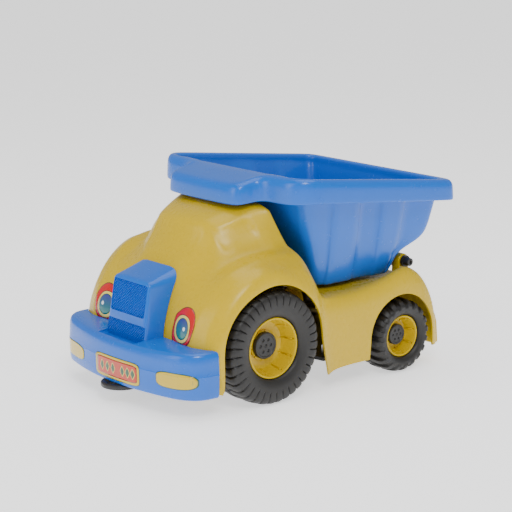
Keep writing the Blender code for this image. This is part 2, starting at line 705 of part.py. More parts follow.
# ---------------------------------------------------------------- build
clear_scene()
PARTS = make_collection("push_along_truck")
CUTTERS = make_collection("cutters")
YELLOW_PLASTIC = make_material("yellow_plastic", YELLOW, 0.35)
BLUE_PLASTIC = make_material("blue_plastic", BLUE, 0.3)
BLACK_PLASTIC = make_material("black_plastic", BLACK, 0.45)
RUBBER = make_material("tyre_black", BLACK, 0.6)
STEEL_METAL = make_material("steel", STEEL, 0.35, 1.0)
PRINT = make_material("sticker_print", (0.8, 0.05, 0.03), 0.3)

cage = make_body_surface()
body_skin = evaluated_mesh(cage)
make_stickers(body_skin)
make_front(make_nose_cutter(body_skin))
make_body(body_skin)
make_tub()
make_frame()
make_hook()
make_screws()
make_wheels()
make_hinge()
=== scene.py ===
"""The looks of the push-along dumper truck: moulded shell, tub and bumper, treaded tyres and stickers,
with the floor, the light and the camera.
"""

import json
from math import atan2, cos, hypot, pi, radians, sin

import bmesh
import bpy
from mathutils import Matrix, Vector
from mathutils.bvhtree import BVHTree


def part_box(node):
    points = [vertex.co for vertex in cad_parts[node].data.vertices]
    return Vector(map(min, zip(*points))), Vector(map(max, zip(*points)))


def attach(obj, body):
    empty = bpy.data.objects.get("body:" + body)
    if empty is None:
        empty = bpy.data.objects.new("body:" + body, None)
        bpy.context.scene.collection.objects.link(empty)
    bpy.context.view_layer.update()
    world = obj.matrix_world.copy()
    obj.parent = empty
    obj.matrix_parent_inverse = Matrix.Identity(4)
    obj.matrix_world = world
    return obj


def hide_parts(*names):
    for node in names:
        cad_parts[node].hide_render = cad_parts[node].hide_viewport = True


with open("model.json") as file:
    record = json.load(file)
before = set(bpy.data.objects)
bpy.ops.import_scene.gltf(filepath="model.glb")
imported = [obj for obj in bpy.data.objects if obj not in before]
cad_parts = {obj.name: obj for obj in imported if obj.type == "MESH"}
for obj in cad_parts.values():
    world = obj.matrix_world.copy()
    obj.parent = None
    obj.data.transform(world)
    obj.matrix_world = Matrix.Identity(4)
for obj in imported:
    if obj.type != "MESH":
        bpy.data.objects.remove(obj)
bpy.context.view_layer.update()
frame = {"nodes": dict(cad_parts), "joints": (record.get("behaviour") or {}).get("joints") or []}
JOINTS = {joint["name"]: joint for joint in frame["joints"]}

# The drawing below is in millimetres from the datum that the CAD part uses, found again from the tub's rear.
TUB_REAR = -174.0
DATUM_X = TUB_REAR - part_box("tipper_tub")[0].x * 1000

# Sizes of the moulded pieces, in millimetres.
BODY_WALL = 2.6
NOSE_GAP = 0.55
DECK_Z = 108.2
FRONT_ARCH_RADIUS = 72.0
FRONT_ARCH_FEET = (173, 16)
REAR_ARCH_RADIUS = 51.0
REAR_ARCH_FEET = (-44, -152)
EAR_RADIUS = 8.5
EAR_SIDES = (77.3, 89.3)
FLAP_SIDES = (63.7, 109.3)
LUG_RADIUS = 9.0
LUG_SIDES = (58, 70)
PIN_RADIUS = 4.9
PIN_BORE_RADIUS = 5.1
PIN_HALF_LENGTH = 101
BUMPER_REAR = 181.0
POCKET_DEPTH = 2.8
UPPER_GRILLE = (98.0, 134.5, 32.0)
LOWER_GRILLE = (70.0, 89.5, 35.0)
TUB_WALL = 2.8
DECAL_THICKNESS = 0.12


def at(x, y, z):
    """A point of the drawing in the row frame, in metres."""
    return Vector((x - DATUM_X, y, z)) * 0.001


def smooth(low, high, value):
    share = min(max((value - low) / (high - low), 0.0), 1.0)
    return share * share * (3 - 2 * share)


# ---------------------------------------------------------------- materials
def plastic(name, colour, roughness, peel=0.06, speckle=0.03, specular=0.5, sheen_scale=900.0):
    """A moulded plastic: even colour with a faint mottle, an orange-peel surface and fine handling marks."""
    material = bpy.data.materials.new(name)
    material.use_nodes = True
    nodes, links = material.node_tree.nodes, material.node_tree.links
    shader = nodes["Principled BSDF"]
    shader.inputs["IOR"].default_value = 1.49
    shader.inputs["Specular IOR Level"].default_value = specular
    place = nodes.new("ShaderNodeTexCoord")
    mottle = nodes.new("ShaderNodeTexNoise")
    mottle.inputs["Scale"].default_value = 18.0
    mottle.inputs["Detail"].default_value = 4.0
    links.new(place.outputs["Object"], mottle.inputs["Vector"])
    ramp = nodes.new("ShaderNodeMapRange")
    ramp.inputs["From Min"].default_value = 0.3
    ramp.inputs["From Max"].default_value = 0.7
    ramp.inputs["To Min"].default_value = 1.0 - speckle
    ramp.inputs["To Max"].default_value = 1.0
    links.new(mottle.outputs["Fac"], ramp.inputs["Value"])
    tint = nodes.new("ShaderNodeHueSaturation")
    tint.inputs["Color"].default_value = (*colour, 1.0)
    links.new(ramp.outputs["Result"], tint.inputs["Value"])
    links.new(tint.outputs["Color"], shader.inputs["Base Color"])
    marks = nodes.new("ShaderNodeTexNoise")
    marks.inputs["Scale"].default_value = 140.0
    marks.inputs["Detail"].default_value = 6.0
    links.new(place.outputs["Object"], marks.inputs["Vector"])
    rough = nodes.new("ShaderNodeMapRange")
    rough.inputs["From Min"].default_value = 0.35
    rough.inputs["From Max"].default_value = 0.75
    rough.inputs["To Min"].default_value = roughness
    rough.inputs["To Max"].default_value = roughness + 0.09
    links.new(marks.outputs["Fac"], rough.inputs["Value"])
    links.new(rough.outputs["Result"], shader.inputs["Roughness"])
    grain = nodes.new("ShaderNodeTexNoise")
    grain.inputs["Scale"].default_value = sheen_scale
    grain.inputs["Detail"].default_value = 2.0
    links.new(place.outputs["Object"], grain.inputs["Vector"])
    bump = nodes.new("ShaderNodeBump")
    bump.inputs["Strength"].default_value = peel
    bump.inputs["Distance"].default_value = 0.0004
    links.new(grain.outputs["Fac"], bump.inputs["Height"])
    links.new(bump.outputs["Normal"], shader.inputs["Normal"])
    return material


def print_ink(name, colour, roughness=0.22):
    material = bpy.data.materials.new(name)
    material.use_nodes = True
    shader = material.node_tree.nodes["Principled BSDF"]
    shader.inputs["Base Color"].default_value = (*colour, 1.0)
    shader.inputs["Roughness"].default_value = roughness
    shader.inputs["Coat Weight"].default_value = 0.4
    shader.inputs["Coat Roughness"].default_value = 0.08
    return material


def steel_finish(name):
    """Bright drawn wire: fine streaks along it."""
    material = bpy.data.materials.new(name)
    material.use_nodes = True
    nodes, links = material.node_tree.nodes, material.node_tree.links
    shader = nodes["Principled BSDF"]
    shader.inputs["Base Color"].default_value = (0.62, 0.62, 0.64, 1.0)
    shader.inputs["Metallic"].default_value = 1.0
    place = nodes.new("ShaderNodeTexCoord")
    streak = nodes.new("ShaderNodeTexNoise")
    streak.inputs["Scale"].default_value = 400.0
    links.new(place.outputs["Object"], streak.inputs["Vector"])
    rough = nodes.new("ShaderNodeMapRange")
    rough.inputs["To Min"].default_value = 0.22
    rough.inputs["To Max"].default_value = 0.42
    links.new(streak.outputs["Fac"], rough.inputs["Value"])
    links.new(rough.outputs["Result"], shader.inputs["Roughness"])
    return material


def iris_ink(name):
    """The eye's iris: violet blue above, turning to teal below."""
    material = print_ink(name, (0.03, 0.05, 0.3))
    nodes, links = material.node_tree.nodes, material.node_tree.links
    place = nodes.new("ShaderNodeNewGeometry")
    split = nodes.new("ShaderNodeSeparateXYZ")
    links.new(place.outputs["Position"], split.inputs["Vector"])
    height = nodes.new("ShaderNodeMapRange")
    height.inputs["From Min"].default_value = 0.083
    height.inputs["From Max"].default_value = 0.103
    links.new(split.outputs["Z"], height.inputs["Value"])
    ramp = nodes.new("ShaderNodeValToRGB")
    ramp.color_ramp.elements[0].color = (0.0, 0.22, 0.19, 1.0)
    ramp.color_ramp.elements[1].color = (0.045, 0.035, 0.27, 1.0)
    links.new(height.outputs["Result"], ramp.inputs["Fac"])
    links.new(ramp.outputs["Color"], material.node_tree.nodes["Principled BSDF"].inputs["Base Color"])
    return material


YELLOW = plastic("yellow_plastic_look", (0.62, 0.42, 0.0), 0.25, specular=0.4)
BLUE = plastic("blue_plastic_look", (0.0, 0.13, 0.62), 0.2, peel=0.03, specular=0.5)
BLACK = plastic("black_plastic_look", (0.02, 0.02, 0.021), 0.38, peel=0.12)
TYRE = plastic("tyre_black_look", (0.014, 0.013, 0.012), 0.44, peel=0.25, speckle=0.12)
STEEL = steel_finish("steel_look")
INK_RED = print_ink("ink_red", (0.62, 0.0, 0.0))
INK_ORANGE = print_ink("ink_orange", (0.55, 0.03, 0.0))
INK_YELLOW = print_ink("ink_yellow", (0.64, 0.44, 0.0))
INK_CREAM = print_ink("ink_cream", (0.80, 0.64, 0.12))
INK_GREEN = print_ink("ink_dark_green", (0.012, 0.09, 0.04))
INK_MAROON = print_ink("ink_maroon", (0.12, 0.01, 0.008))
INK_WHITE = print_ink("ink_white", (0.9, 0.9, 0.88))
INK_IRIS = iris_ink("ink_iris")


# ---------------------------------------------------------------- mesh helpers
def to_object(name, bm, material=None, sharp=40.0):
    mesh = bpy.data.meshes.new(name)
    bmesh.ops.recalc_face_normals(bm, faces=bm.faces)
    bm.to_mesh(mesh)
    bm.free()
    return mesh_to_object(name, mesh, material, sharp)


def mesh_to_object(name, mesh, material=None, sharp=40.0):
    mesh.shade_smooth()
    mesh.set_sharp_from_angle(angle=radians(sharp))
    obj = bpy.data.objects.new(name, mesh)
    if material:
        mesh.materials.clear()
        mesh.materials.append(material)
    bpy.context.scene.collection.objects.link(obj)
    return obj


def evaluated_mesh(obj):
    bpy.context.view_layer.update()
    depsgraph = bpy.context.evaluated_depsgraph_get()
    return bpy.data.meshes.new_from_object(obj.evaluated_get(depsgraph))


def baked(obj, material, sharp=32.0):
    """The object with its modifiers applied, under the same name."""
    mesh = evaluated_mesh(obj)
    name = obj.name
    remove(obj)
    return mesh_to_object(name, mesh, material, sharp)


def remove(*objs):
    for obj in objs:
        bpy.data.objects.remove(obj, do_unlink=True)


def boolean(obj, other, operation="DIFFERENCE"):
    modifier = obj.modifiers.new(other.name, "BOOLEAN")
    modifier.operation = operation
    modifier.solver = "EXACT"
    modifier.object = other


def mirror(obj):
    modifier = obj.modifiers.new("Mirror", "MIRROR")
    modifier.use_axis = (False, True, False)
    modifier.merge_threshold = 0.0001


def subdivide(obj, levels):
    modifier = obj.modifiers.new("Subdivision", "SUBSURF")
    modifier.levels = levels
    modifier.render_levels = levels


def solidify(obj, thickness, offset=-1.0):
    modifier = obj.modifiers.new("Solidify", "SOLIDIFY")
    modifier.thickness = thickness * 0.001
    modifier.offset = offset


def bevel(obj, width, segments=4, angle=35.0):
    modifier = obj.modifiers.new("Bevel", "BEVEL")
    modifier.width = width * 0.001
    modifier.segments = segments
    modifier.limit_method = "ANGLE"
    modifier.angle_limit = radians(angle)


def grid(bm, rows, wrap=False):
    verts = [[bm.verts.new(point) for point in row] for row in rows]
    count = len(rows[0])
    for near, far in zip(verts, verts[1:]):
        for j in range(count if wrap else count - 1):
            k = (j + 1) % count
            bm.faces.new((near[j], far[j], far[k], near[k]))
    return verts


def extruded(name, outline, low, high, plane, material=None):
    """An outline given in the XY or the XZ plane, extruded from low to high along the third axis."""
    bm = bmesh.new()
    if plane == "XY":
        points = [at(x, y, low) for x, y in outline]
        step = Vector((0, 0, (high - low) * 0.001))
    else:
        points = [at(x, low, z) for x, z in outline]
        step = Vector((0, (high - low) * 0.001, 0))
    face = bm.faces.new([bm.verts.new(point) for point in points])
    moved = bmesh.ops.extrude_face_region(bm, geom=[face])["geom"]
    bmesh.ops.translate(bm, vec=step, verts=[v for v in moved if isinstance(v, bmesh.types.BMVert)])
    return to_object(name, bm, material)


def cylinder(name, centre, radius, half_length, axis="Y", material=None, segments=48):
    bm = bmesh.new()
    bmesh.ops.create_cone(bm, cap_ends=True, segments=segments, radius1=radius * 0.001,
                          radius2=radius * 0.001, depth=half_length * 0.002)
    if axis == "Y":
        bmesh.ops.rotate(bm, matrix=Matrix.Rotation(pi / 2, 3, "X"), verts=bm.verts)
    bmesh.ops.translate(bm, vec=at(*centre), verts=bm.verts)
    return to_object(name, bm, material)


def arc(centre_x, centre_z, radius, start, end, count):
    angles = [radians(start + (end - start) * i / count) for i in range(count + 1)]
    return [(centre_x + radius * cos(a), centre_z + radius * sin(a)) for a in angles]


def show(obj, body, slot, *nodes):
    """The piece moves with a CAD body and stands for CAD nodes, which it hides; slot is not used."""
    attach(obj, body)
    if nodes:
        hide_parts(*nodes)
    return obj


# ---------------------------------------------------------------- body
# Stations from the foot of the nose over the cab and deck to the foot of the tail; each row runs from the
# bottom of the left side up to the middle line.
BODY_CAGE = (
    ((171, 124, 22), (173, 123, 24), (176, 122, 25), (181, 116, 26), (187, 97, 26),
     (190, 76, 26), (189, 55, 28), (190, 30, 28), (190, 0, 28)),
    ((172, 127, 22.5), (177, 127, 40), (183, 126, 58), (192, 113, 68), (197, 95, 71),
     (196, 75, 72), (194, 55, 72), (193, 30, 72), (193, 0, 72)),
    ((166, 128, 22), (167, 128, 60), (178, 126, 90), (184, 110, 101), (190, 95, 104),
     (190, 76, 105), (186, 55, 105), (185, 30, 105), (184, 0, 105)),
    ((149, 128, 22), (149, 129, 70), (160, 127, 122), (164, 114, 130), (166, 98, 134),
     (169, 80, 136), (172, 60, 138), (173, 32, 141), (173, 0, 142)),
    ((131, 128, 22), (131, 129, 80), (138, 130, 141), (143, 116, 147), (147, 101, 153),
     (147, 79, 149), (151, 60, 150), (163, 38, 157), (164, 0, 159)),
    ((118, 128, 22), (118, 129, 90), (120, 130, 149), (125, 117, 156), (130, 102, 159),
     (131, 79, 158), (141, 57, 169), (148, 36, 176), (154, 0, 177)),
    ((102, 128, 22), (102, 129, 90), (103, 128, 149), (107, 116, 158), (112, 103, 163),
     (114, 82, 163), (127, 57, 191), (136, 40, 198), (142, 0, 200)),
    ((84, 128, 22), (84, 129, 90), (84, 128, 145), (87, 115, 155), (92, 103, 166),
     (95, 85, 167), (108, 62, 201), (116, 46, 208), (120, 0, 211)),
    ((64, 128, 22), (64, 129, 85), (63, 127, 134), (66, 117, 149), (71, 103, 165),
     (75, 92, 171), (82, 70, 210), (86, 57, 217), (86, 0, 219)),
    ((46, 127, 22), (46, 128, 75), (44, 127, 116), (45, 118, 142), (51, 105, 162),
     (60, 93, 173), (70, 77, 211), (72, 59, 218), (72, 0, 219)),
    ((30, 127, 20), (34, 127, 68), (34, 126, 100), (33, 118, 124), (37, 107, 147),
     (45, 95, 156), (53, 77, 168), (52, 58, 170), (52, 0, 170)),
    ((20, 125, 18), (23, 123, 55), (26, 119, 92), (24, 115, 108), (26, 104, 111),
     (31, 90, 111), (31, 76, 112), (31, 58, 112), (31, 0, 112)),
    ((12, 121, 24), (11, 120, 55), (10, 118, 95), (10, 113, 106), (10, 103, DECK_Z),
     (10, 90, DECK_Z), (10, 76, DECK_Z), (10, 58, DECK_Z), (10, 0, DECK_Z)),
    ((-40, 121, 25), (-40, 120, 55), (-40, 118, 95), (-40, 113, 106), (-40, 103, DECK_Z),
     (-40, 90, DECK_Z), (-40, 76, DECK_Z), (-40, 58, DECK_Z), (-40, 0, DECK_Z)),
    ((-84, 122, 24), (-84, 122, 55), (-84, 121, 104), (-84, 115, 118), (-84, 104, 117),
     (-84, 93, DECK_Z), (-84, 76, DECK_Z), (-84, 58, DECK_Z), (-84, 0, DECK_Z)),
    ((-110, 122, 24), (-110, 122, 60), (-110, 120, 112), (-109, 113, 130), (-111, 103, 127),
     (-112, 96, 112), (-112, 76, DECK_Z), (-112, 58, DECK_Z), (-112, 0, DECK_Z)),
    ((-128, 122, 24), (-128, 122, 60), (-128, 119, 107), (-127, 112, 120), (-126, 104, 120),
     (-125, 96, 114), (-125, 76, DECK_Z), (-125, 58, DECK_Z), (-125, 0, DECK_Z)),
    ((-146, 121, 24), (-146, 121, 55), (-144, 117, 94), (-141, 110, 110), (-139, 102, 113),
     (-138, 94, 112), (-138, 76, 110), (-138, 58, 110), (-138, 0, 110)),
    ((-157, 119, 24), (-157, 119, 45), (-156, 116, 76), (-154, 110, 90), (-153, 101, 95),
     (-153, 92, 96), (-153, 76, 97), (-153, 58, 97), (-153, 0, 97)),
    ((-162, 115, 24), (-162, 115, 36), (-162, 113, 52), (-162, 108, 61), (-162, 100, 64),
     (-162, 90, 66), (-162, 76, 67), (-162, 58, 67), (-162, 0, 67)),
    ((-163, 111, 24), (-163, 111, 25), (-163, 110, 26), (-163, 106, 27), (-163, 99, 28),
     (-163, 90, 28), (-163, 76, 28), (-163, 58, 28), (-163, 0, 28)),
)
COLUMN_CREASE = {2: 0.25, 3: 0.45, 4: 0.5, 5: 0.45, 6: 0.5, 7: 0.3}
ROW_CREASE = {5: 0.3, 6: 0.35, 8: 0.35, 9: 0.6}
SIDE_WINDOW = ((133, 191), (94, 203), (88, 184), (128, 172))
FRONT_WINDOW = ((-58, 163), (58, 163), (50, 192), (-50, 192))


def inside_distance(point, polygon):
    """Signed distance from a point to a convex polygon's nearest side, positive inside."""
    x, z = point
    turn = sum(a[0] * b[1] - b[0] * a[1] for a, b in zip(polygon, polygon[1:] + polygon[:1]))
    sign = 1 if turn > 0 else -1
    nearest = 1e9
    for (ax, az), (bx, bz) in zip(polygon, polygon[1:] + polygon[:1]):
        length = hypot(bx - ax, bz - az)
        nearest = min(nearest, sign * ((bx - ax) * (z - az) - (bz - az) * (x - ax)) / length)
    return nearest


def body_skin():
    bm = bmesh.new()
    verts = grid(bm, [[at(*point) for point in row] for row in BODY_CAGE])
    crease = bm.edges.layers.float.new("crease_edge")
    for i, row in enumerate(verts):
        for j, vert in enumerate(row):
            if i + 1 < len(verts) and j in COLUMN_CREASE and i < 12:
                bm.edges.get((vert, verts[i + 1][j]))[crease] = COLUMN_CREASE[j]
            if j + 1 < len(row) and i in ROW_CREASE and j >= 4:
                bm.edges.get((vert, row[j + 1]))[crease] = ROW_CREASE[i]
    cage = to_object("body_cage", bm)
    mirror(cage)
    subdivide(cage, 3)
    mesh = evaluated_mesh(cage)
    remove(cage)
    bm = bmesh.new()
    bm.from_mesh(mesh)
    bm.normal_update()
    for vert, normal in [(v, v.normal.copy()) for v in bm.verts]:
        x, y, z = vert.co.x * 1000 + DATUM_X, vert.co.y * 1000, vert.co.z * 1000
        depth = 0.0
        if 160 < z < 215 and abs(normal.y) > 0.35:
            depth = 1.3 * smooth(-1.2, 1.6, inside_distance((x, z), SIDE_WINDOW))
        elif z > 150 and normal.x > 0.5:
            depth = 1.0 * smooth(-1.2, 1.6, inside_distance((y, z), FRONT_WINDOW))
        vert.co -= normal * depth * 0.001
    mesh.clear_geometry()
    bm.to_mesh(mesh)
    bm.free()
    return mesh


def nose_clearance(skin):
    """The body's whole volume a gap larger, which trims the pieces fitted to the nose."""
    bm = bmesh.new()
    bm.from_mesh(skin)
    bm.normal_update()
    for vert, normal in [(v, v.normal.copy()) for v in bm.verts]:
        vert.co += normal * NOSE_GAP * 0.001
    rim = [edge for edge in bm.edges if edge.is_boundary]
    moved = bmesh.ops.extrude_edge_only(bm, edges=rim)["geom"]
    for vert in (v for v in moved if isinstance(v, bmesh.types.BMVert)):
        vert.co.z = -0.01
    bmesh.ops.holes_fill(bm, edges=[edge for edge in bm.edges if edge.is_boundary])
    return to_object("nose_clearance", bm)


def axle_of(joint):
    spot = JOINTS[joint]["pos_m"]
    return spot[0] * 1000 + DATUM_X, spot[2] * 1000


def arch_cutter(name, joint, radius, front_foot, rear_foot):
    x, z = axle_of(joint)
    outline = [(front_foot, 0.0), *arc(x, z, radius, 0, 180, 64), (rear_foot, 0.0)]
    return extruded(name, outline, -150, 150, "XZ")


HINGE_X = JOINTS["tub_tip"]["pos_m"][0] * 1000 + DATUM_X
HINGE_Z = JOINTS["tub_tip"]["pos_m"][2] * 1000


def make_body(skin):
    body = mesh_to_object("body_moulding", skin, YELLOW)
    solidify(body, BODY_WALL)
    cutters = [
        arch_cutter("front_arch", "front_left_wheel_spin", FRONT_ARCH_RADIUS, *FRONT_ARCH_FEET),
        arch_cutter("rear_arch", "rear_left_wheel_spin", REAR_ARCH_RADIUS, *REAR_ARCH_FEET),
    ]
    for cutter in cutters:
        boolean(body, cutter)
    for side in (-1, 1):
        low, high = sorted(edge * side for edge in EAR_SIDES)
        top = arc(HINGE_X, HINGE_Z, EAR_RADIUS, 0, 180, 32)
        outline = [(HINGE_X - EAR_RADIUS, 104), (HINGE_X + EAR_RADIUS, 104), *top]
        ear = extruded(f"ear_{side}", outline, low, high, "XZ")
        bevel(ear, 1.2, 3)
        low, high = sorted(edge * side for edge in FLAP_SIDES)
        tail = [(-158.4, 60.5), (-165.5, 59.5), (-169.3, 48), (-171.5, 22.5), (-165, 20.8), (-158.4, 24)]
        flap = extruded(f"flap_{side}", tail, low, high, "XZ")
        bevel(flap, 1.8, 4, 20.0)
        cutters += [ear, flap]
        boolean(body, ear, "UNION")
        boolean(body, flap, "UNION")
    cutters.append(cylinder("pin_bore", (HINGE_X, 0, HINGE_Z), PIN_BORE_RADIUS, 94))
    boolean(body, cutters[-1])
    body = baked(body, YELLOW)
    remove(*cutters)
    return show(body, "chassis", "yellow_plastic", "body_shell")


# ---------------------------------------------------------------- bumper and grille
def bumper_half(inset):
    """Half plan of the bumper from the middle line round the corner to its rear end, moved in by an inset."""
    points = [(237.0 - 0.0014 * y * y, y) for y in range(0, 93, 6)]
    start, end = Vector((225.3, 92.0)), Vector((192.0, 126.4))
    pull_a, pull_b = Vector((220.6, 111.0)), Vector((210.0, 125.4))
    for i in range(1, 13):
        t = i / 12
        p = start * (1 - t) ** 3 + pull_a * 3 * t * (1 - t) ** 2 + pull_b * 3 * t * t * (1 - t) + end * t ** 3
        points.append((p.x, p.y))
    points.append((BUMPER_REAR, 126.8))
    moved = []
    for i, (x, y) in enumerate(points):
        ax, ay = points[max(i - 1, 0)]
        bx, by = points[min(i + 1, len(points) - 1)]
        if i == 0:
            ax, ay = bx, -by
        length = hypot(bx - ax, by - ay)
        moved.append((x - inset * (by - ay) / length, y + inset * (bx - ax) / length))
    return moved


def bumper_plan(inset, rear):
    half = bumper_half(inset)
    half[-1] = (rear, half[-1][1])
    return half + [(x, -y) for x, y in reversed(half[1:])]


def make_bumper_block():
    """The bumper as a loft of plans: rounded edges above and below and a faint crease along its middle."""
    levels = ((23.0, 5.0), (23.4, 3.0), (24.8, 1.4), (27.5, 0.6), (36.0, 0.3), (48.6, 0.0), (49.8, -0.35),
              (51.0, 0.0), (62.0, 0.5), (69.0, 1.0), (72.4, 2.3), (74.2, 4.4), (75.0, 7.5))
    bm = bmesh.new()
    rows = []
    for z, inset in levels:
        lift = smooth(60, 75, z)
        plan = bumper_plan(inset, BUMPER_REAR)
        rows.append([at(x, y, z + lift * (3.0 * (y / 120) ** 2 - 2.0)) for x, y in plan])
    verts = grid(bm, rows, wrap=True)
    bm.faces.new(verts[0])
    bm.faces.new(verts[-1])
    return to_object("bumper_moulding", bm, BLUE)


def hood_block(name, inset, rear, rounding):
    """The hood: a leaning front face with a rounded rim, a top that rises and shoulders that grow rounder
    towards the rear. The inset block is the hollow inside."""
    turns = (0.0, pi / 8, pi / 4, 3 * pi / 8)
    front = [(0.0, rounding * (1 - cos(a)), rounding * (1 - sin(a))) for a in turns]
    along = [(share, rounding, 0.0) for share in (0.0, 0.25, 0.5, 0.75, 1.0)]
    bm = bmesh.new()
    rows = []
    for share, back, shrink in (front if rounding else []) + along:
        less = inset + shrink
        half_top = 34.5 + 11.5 * share - less
        half_low = 38.5 + 7.5 * share - less
        z_top = 138.5 + 24.5 * share - less
        z_low = 52.0 - inset
        radius = max(7.0 + 17.0 * share - less, 1.5)
        side = [(half_low, z_low)]
        side += arc(half_top - radius, z_top - radius, radius, 0, 84, 8)
        for y in (0.55, 0.25):
            side.append((half_top * y, z_top + 1.6 * (1 - y * y) * (1 - share)))
        ring = []
        for y, z in side + [(-y, z) for y, z in reversed(side)]:
            x_front = face_x(z) - inset - back
            ring.append(at(x_front + (rear - x_front) * share, y, z))
        rows.append(ring)
    verts = grid(bm, rows, wrap=True)
    for end in (verts[0], verts[-1]):
        for i in range(len(end) // 2 - 1):
            bm.faces.new((end[i], end[i + 1], end[-2 - i], end[-1 - i]))
    return to_object(name, bm)


def face_x(z):
    """Where the hood's leaning front face is, at a height."""
    return 206.5 + (138.5 - z) * 13.0 / 86.5


LEAN = atan2(13.0, 86.5)


def leaning_panel(name, low, high, half_width, front, back, corner):
    """A rounded slab parallel with the hood's front face, from front to back of that face."""
    bm = bmesh.new()
    middle = (low + high) / 2
    half_z = (high - low) / 2
    outline = []
    for cy, cz, start in ((1, 1, 0), (-1, 1, 90), (-1, -1, 180), (1, -1, 270)):
        for i in range(7):
            a = radians(start + 15 * i)
            y = cy * (half_width - corner) + corner * cos(a)
            z = cz * (half_z - corner) + corner * sin(a)
            outline.append((y, z))
    turn = Matrix.Rotation(-LEAN, 3, "Y")
    origin = at(face_x(middle), 0, middle)
    rows = [[origin + turn @ Vector((depth, y, z)) * 0.001 for y, z in outline] for depth in (front, back)]
    verts = grid(bm, rows, wrap=True)
    bm.faces.new(verts[0])
    bm.faces.new(verts[-1])
    return to_object(name, bm)


def grille_mesh(name, low, high, half_width):
    """Staggered rows of small pyramid studs on the floor of a grille pocket, as one piece."""
    bm = bmesh.new()
    pitch, size, height = 3.4, 1.35, 1.9
    middle = (low + high) / 2
    turn = Matrix.Rotation(-LEAN, 3, "Y")
    rows = int((high - low) / pitch * 2)
    columns = int(2 * half_width / pitch)
    for i in range(rows):
        for j in range(columns):
            y = -half_width + pitch * (j + 0.5 + 0.5 * (i % 2))
            z = -(high - low) / 2 + pitch * 0.5 * (i + 0.5)
            if abs(y) > half_width - 0.8 or abs(z) > (high - low) / 2 - 0.8:
                continue
            base = -POCKET_DEPTH - 0.3
            corners = ((size, 0), (0, size), (-size, 0), (0, -size))
            low_ring = [(base, y + a, z + b) for a, b in corners]
            high_ring = [(base + height, y + a * 0.45, z + b * 0.45) for a, b in corners]
            origin = at(face_x(middle), 0, middle)
            ring_a = [bm.verts.new(origin + turn @ Vector(p) * 0.001) for p in low_ring]
            ring_b = [bm.verts.new(origin + turn @ Vector(p) * 0.001) for p in high_ring]
            for k in range(4):
                bm.faces.new((ring_a[k], ring_a[(k + 1) % 4], ring_b[(k + 1) % 4], ring_b[k]))
            bm.faces.new(ring_b)
            bm.faces.new(ring_a[::-1])
    obj = to_object(name, bm, BLUE, 20.0)
    return show(obj, "chassis", "blue_plastic")


def make_front(clearance):
    front = make_bumper_block()
    hood = hood_block("hood_outer", 0.0, 130.0, 5.0)
    hood_inner = hood_block("hood_inner", 4.6, 140.0, 0.0)
    back = extruded("bumper_inner", bumper_plan(3.0, 142.0), 0, 69.5, "XY")
    pockets = [
        leaning_panel("upper_pocket", *UPPER_GRILLE, -POCKET_DEPTH, 12, 3.0),
        leaning_panel("lower_pocket", *LOWER_GRILLE, -POCKET_DEPTH, 12, 2.5),
    ]
    boolean(front, hood, "UNION")
    boolean(front, hood_inner)
    boolean(front, back)
    for pocket in pockets:
        boolean(front, pocket)
    boolean(front, clearance)
    front = baked(front, BLUE)
    remove(hood, hood_inner, back, *pockets)
    grille_mesh("upper_grille_mesh", *UPPER_GRILLE)
    grille_mesh("lower_grille_mesh", *LOWER_GRILLE)
    return show(front, "chassis", "blue_plastic", "bumper_and_grille")


# ---------------------------------------------------------------- stickers
def surface_of(mesh_or_obj):
    mesh = evaluated_mesh(mesh_or_obj) if isinstance(mesh_or_obj, bpy.types.Object) else mesh_or_obj
    bm = bmesh.new()
    bm.from_mesh(mesh)
    tree = BVHTree.FromBMesh(bm)
    bm.free()
    return tree


def decal(name, outline, surface, lift, material, stands_for=None):
    """A thin printed layer with a YZ outline, laid on a surface as seen from the front."""
    bm = bmesh.new()
    count = len(outline)
    middle_y = sum(y for y, z in outline) / count
    middle_z = sum(z for y, z in outline) / count
    rows = []
    for step in range(12):
        share = 1 - step / 12
        row = []
        for y, z in outline:
            origin = at(300, middle_y + (y - middle_y) * share, middle_z + (z - middle_z) * share)
            hit, normal, _, _ = surface.ray_cast(origin, Vector((-1, 0, 0)))
            if normal.x < 0:
                normal = -normal
            row.append(hit + normal * lift * 0.001)
        rows.append(row)
    verts = grid(bm, rows, wrap=True)
    bm.faces.new(verts[-1])
    obj = to_object(name, bm, material, 60.0)
    if sum(p.normal.x for p in obj.data.polygons) < 0:
        obj.data.flip_normals()
    solidify(obj, DECAL_THICKNESS, -1.0)
    return show(obj, "chassis", "sticker_print", *([stands_for] if stands_for else []))


def blob(y, z, half_y, half_z, power=2.0, lean=0.0, count=72):
    """A rounded outline; lean pushes its upper part outward."""
    points = []
    for i in range(count):
        a = 2 * pi * i / count
        c, s = cos(a), sin(a)
        scale = (abs(c) ** power + abs(s) ** power) ** (-1 / power)
        points.append((y + half_y * c * scale + lean * s * scale, z + half_z * s * scale))
    return points


def eyelid(side, grow):
    """The red patch: square at its lower inner corner and rounder towards the top outer one."""
    points = []
    for i in range(96):
        a = 2 * pi * i / 96
        c, s = cos(a), sin(a)
        low_inner = smooth(0.0, 1.0, (-c - s) / 1.4)
        power = 2.0 + 3.2 * low_inner + 1.2 * smooth(0.0, 1.0, -s)
        scale = (abs(c) ** power + abs(s) ** power) ** (-1 / power)
        y = 74.5 + (19.5 + grow) * c * scale + 1.5 * s
        points.append((y * side, 95.0 + (20.5 + grow) * s * scale))
    return points


